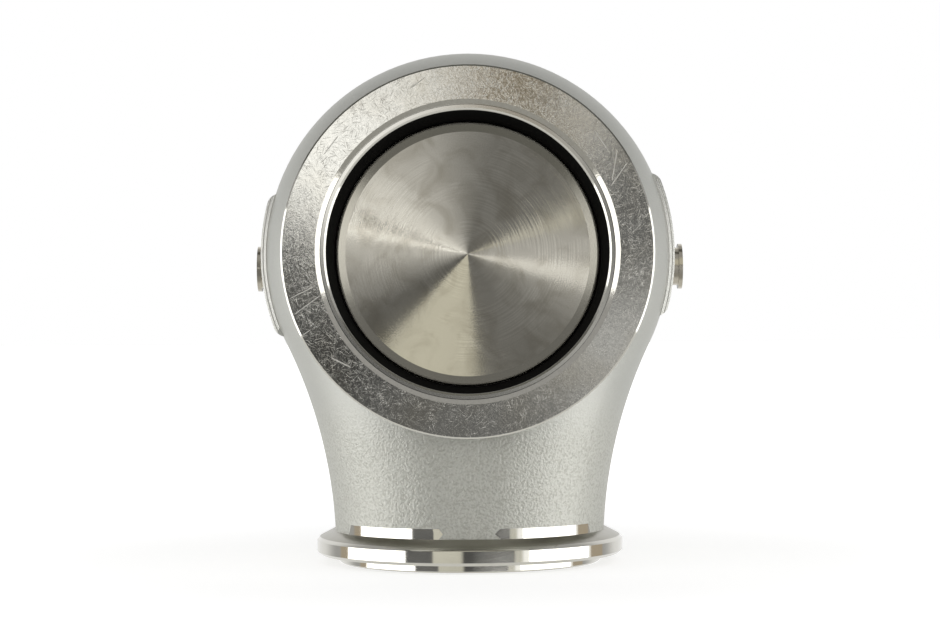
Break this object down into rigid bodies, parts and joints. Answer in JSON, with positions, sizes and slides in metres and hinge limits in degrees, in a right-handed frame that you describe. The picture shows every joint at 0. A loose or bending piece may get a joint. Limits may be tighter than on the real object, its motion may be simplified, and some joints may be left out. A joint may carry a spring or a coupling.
{
  "type": "turbo wastegate",
  "caption": "External turbo wastegate: cast elbow housing with band-clamped round inlet and outlet, a sprung poppet valve and a diaphragm actuator behind.",
  "frame": {"origin": "centre of the outlet pilot lip's bottom face", "axes": "-Z out of the outlet, -Y out of the inlet, +Y towards the actuator along the valve's axis"},
  "size_m": [0.0959, 0.177, 0.1143],
  "materials": {
    "cast_stainless": "bead-blasted cast stainless with turned faces",
    "seat_steel": "turned, heat-darkened bore",
    "bronze": "turned",
    "plug_steel": "turned stainless",
    "gasket": "insulating sheet",
    "anodised": "clear anodised",
    "screw_steel": "zinc plated",
    "seal_rubber": "moulded",
    "diaphragm_rubber": "silicone on cloth",
    "turned_aluminium": "turned",
    "spring_steel": "oil-hardened wire",
    "brass": "turned brass",
    "valve_steel": "turned stainless"
  },
  "bodies": {
    "housing": {"valve_housing": "cast_stainless", "valve_seat": "seat_steel", "valve_guide": "bronze", "coolant_plug_left": "plug_steel", "coolant_plug_right": "plug_steel", "heat_gasket": "gasket", "actuator_base": "anodised", "base_screws": "screw_steel", "stem_bush": "bronze", "stem_seal": "seal_rubber", "seal_retainer": "screw_steel", "diaphragm": "diaphragm_rubber", "actuator_cap": "anodised", "cap_screws": "screw_steel", "spring_seat": "turned_aluminium", "outer_spring": "spring_steel", "inner_spring": "spring_steel", "boost_fitting": "brass", "base_port_plug": "brass", "top_fitting": "brass"},
    "valve_assembly": {"valve": "valve_steel", "diaphragm_plate": "turned_aluminium", "piston_cup": "turned_aluminium", "stem_washer": "screw_steel", "stem_nut": "screw_steel"}
  },
  "joints": [
    {"name": "valve_lift", "type": "slide", "parent": "housing", "child": "valve_assembly", "axis": [0, 1, 0], "range_m": [0, 0.014], "stiffness_N_per_m": 4000, "springref_m": -0.03, "deforming": ["outer_spring", "inner_spring", "diaphragm"]}
  ]
}
